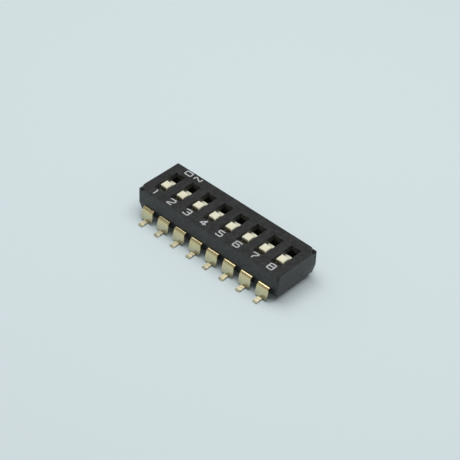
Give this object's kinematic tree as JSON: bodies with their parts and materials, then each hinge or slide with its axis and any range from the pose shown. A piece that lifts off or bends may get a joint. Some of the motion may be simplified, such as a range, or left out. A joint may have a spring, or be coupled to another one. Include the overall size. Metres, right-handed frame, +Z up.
{
  "type": "dip switch",
  "caption": "Surface-mount slide dip switch: a black moulded body with a row of cream sliders in slots and gull-wing terminals along both sides.",
  "frame": {"origin": "centre of the footprint on the board, at the undersides of the terminal feet", "axes": "+X along the row from position 1 to position 8, +Y from OFF to ON, +Z up from the board"},
  "size_m": [0.0214, 0.0096, 0.0038],
  "materials": {
    "base_black": "moulded black thermoplastic, matte",
    "cover_black": "moulded black thermoplastic, fine matte texture",
    "slider_cream": "moulded cream thermoplastic, satin",
    "contact_gold": "gold plated spring strip",
    "terminal_gold": "pale gold plated strip, stamped and formed"
  },
  "bodies": {
    "housing": {"base": "base_black", "cover": "cover_black", "terminal_front_1": "terminal_gold", "terminal_front_2": "terminal_gold", "terminal_front_3": "terminal_gold", "terminal_front_4": "terminal_gold", "terminal_front_5": "terminal_gold", "terminal_front_6": "terminal_gold", "terminal_front_7": "terminal_gold", "terminal_front_8": "terminal_gold", "terminal_back_1": "terminal_gold", "terminal_back_2": "terminal_gold", "terminal_back_3": "terminal_gold", "terminal_back_4": "terminal_gold", "terminal_back_5": "terminal_gold", "terminal_back_6": "terminal_gold", "terminal_back_7": "terminal_gold", "terminal_back_8": "terminal_gold"},
    "switch_1": {"slider_1": "slider_cream", "contact_1": "contact_gold"},
    "switch_2": {"slider_2": "slider_cream", "contact_2": "contact_gold"},
    "switch_3": {"slider_3": "slider_cream", "contact_3": "contact_gold"},
    "switch_4": {"slider_4": "slider_cream", "contact_4": "contact_gold"},
    "switch_5": {"slider_5": "slider_cream", "contact_5": "contact_gold"},
    "switch_6": {"slider_6": "slider_cream", "contact_6": "contact_gold"},
    "switch_7": {"slider_7": "slider_cream", "contact_7": "contact_gold"},
    "switch_8": {"slider_8": "slider_cream", "contact_8": "contact_gold"}
  },
  "joints": [
    {"name": "slide_1", "type": "slide", "parent": "housing", "child": "switch_1", "axis": [0, 1, 0], "range_m": [0, 0.00094]},
    {"name": "slide_2", "type": "slide", "parent": "housing", "child": "switch_2", "axis": [0, 1, 0], "range_m": [0, 0.00094]},
    {"name": "slide_3", "type": "slide", "parent": "housing", "child": "switch_3", "axis": [0, 1, 0], "range_m": [0, 0.00094]},
    {"name": "slide_4", "type": "slide", "parent": "housing", "child": "switch_4", "axis": [0, 1, 0], "range_m": [0, 0.00094]},
    {"name": "slide_5", "type": "slide", "parent": "housing", "child": "switch_5", "axis": [0, 1, 0], "range_m": [0, 0.00094]},
    {"name": "slide_6", "type": "slide", "parent": "housing", "child": "switch_6", "axis": [0, 1, 0], "range_m": [0, 0.00094]},
    {"name": "slide_7", "type": "slide", "parent": "housing", "child": "switch_7", "axis": [0, 1, 0], "range_m": [0, 0.00094]},
    {"name": "slide_8", "type": "slide", "parent": "housing", "child": "switch_8", "axis": [0, 1, 0], "range_m": [0, 0.00094]}
  ]
}
